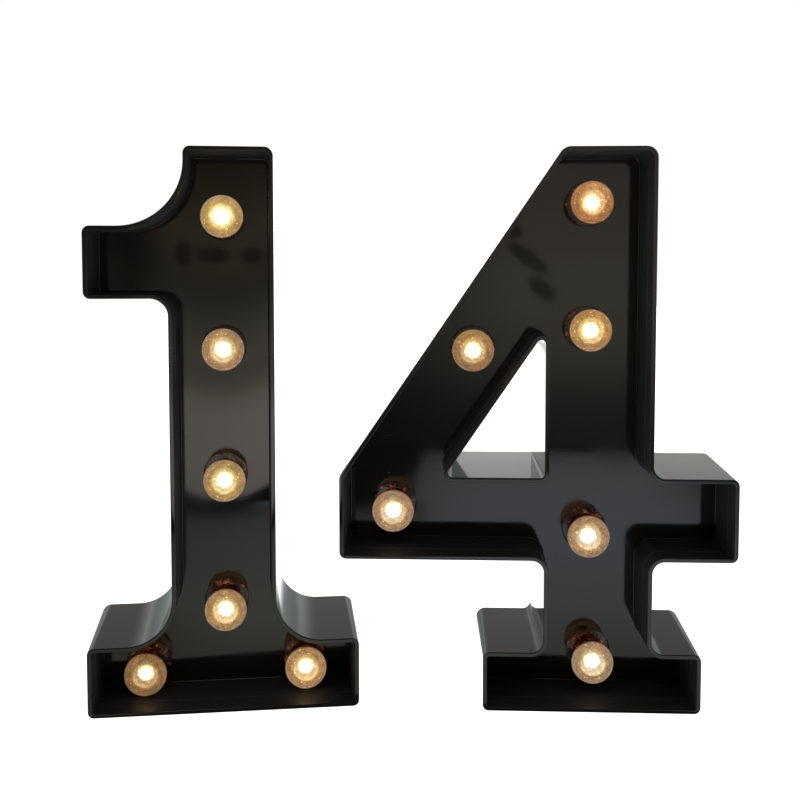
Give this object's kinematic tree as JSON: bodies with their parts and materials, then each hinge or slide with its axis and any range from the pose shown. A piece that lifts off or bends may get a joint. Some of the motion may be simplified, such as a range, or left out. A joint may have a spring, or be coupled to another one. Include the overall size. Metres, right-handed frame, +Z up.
{
  "type": "light up marquee number",
  "caption": "Free-standing marquee numerals, a one and a four: deep black cases with clear round bulbs standing in a recessed front, run by cells behind a door in the back.",
  "frame": {"origin": "on the surface that the numerals stand on, below the middle of both together", "axes": "+X to the right as the numerals are read, +Y to the back and +Z up"},
  "size_m": [0.2626, 0.0646, 0.2214],
  "materials": {
    "case_black": "high gloss",
    "cover_black": "fine grain",
    "clear_bulb": "clear, polished",
    "warm_diode": "clear epoxy, lit",
    "nickel_steel": "nickel plated",
    "cell_label": "printed film",
    "switch_nylon": "moulded",
    "red_wire": "smooth insulation",
    "white_wire": "smooth insulation"
  },
  "bodies": {
    "body": {"one_shell": "case_black", "one_back_cover": "cover_black", "one_switch_body": "switch_nylon", "one_contact_plus": "nickel_steel", "one_contact_minus": "nickel_steel", "one_contact_bridge": "nickel_steel", "one_supply_wire": "red_wire", "one_lamp_wire": "white_wire", "one_bulb_1": "clear_bulb", "one_lamp_1": "warm_diode", "one_bulb_2": "clear_bulb", "one_lamp_2": "warm_diode", "one_bulb_3": "clear_bulb", "one_lamp_3": "warm_diode", "one_bulb_4": "clear_bulb", "one_lamp_4": "warm_diode", "one_bulb_5": "clear_bulb", "one_lamp_5": "warm_diode", "one_bulb_6": "clear_bulb", "one_lamp_6": "warm_diode", "one_battery_1": "cell_label", "one_battery_2": "cell_label", "one_screw_1": "nickel_steel", "one_screw_2": "nickel_steel", "one_screw_3": "nickel_steel", "one_screw_4": "nickel_steel", "four_shell": "case_black", "four_back_cover": "cover_black", "four_switch_body": "switch_nylon", "four_contact_plus": "nickel_steel", "four_contact_minus": "nickel_steel", "four_contact_bridge": "nickel_steel", "four_supply_wire": "red_wire", "four_lamp_wire": "white_wire", "four_bulb_1": "clear_bulb", "four_lamp_1": "warm_diode", "four_bulb_2": "clear_bulb", "four_lamp_2": "warm_diode", "four_bulb_3": "clear_bulb", "four_lamp_3": "warm_diode", "four_bulb_4": "clear_bulb", "four_lamp_4": "warm_diode", "four_bulb_5": "clear_bulb", "four_lamp_5": "warm_diode", "four_bulb_6": "clear_bulb", "four_lamp_6": "warm_diode", "four_battery_1": "cell_label", "four_battery_2": "cell_label", "four_screw_1": "nickel_steel", "four_screw_2": "nickel_steel", "four_screw_3": "nickel_steel", "four_screw_4": "nickel_steel"},
    "one_door": {"one_battery_door": "cover_black"},
    "one_switch": {"one_switch_knob": "cover_black"},
    "four_door": {"four_battery_door": "cover_black"},
    "four_switch": {"four_switch_knob": "cover_black"}
  },
  "joints": [
    {"name": "one_door_tilt", "type": "hinge", "parent": "body", "child": "one_door", "pos_m": [-0.07771, 0.02575, 0.06785], "axis": [-0.9925, -0.1219, 0], "range_deg": [0, 75]},
    {"name": "one_switch_slide", "type": "slide", "parent": "body", "child": "one_switch", "axis": [0, 0, 1], "range_m": [-0.003, 0]},
    {"name": "four_door_tilt", "type": "hinge", "parent": "body", "child": "four_door", "pos_m": [0.07621, 0.02579, 0.0784], "axis": [-0.999, 0.0436, 0], "range_deg": [0, 75]},
    {"name": "four_switch_slide", "type": "slide", "parent": "body", "child": "four_switch", "axis": [0, 0, 1], "range_m": [-0.003, 0]}
  ]
}
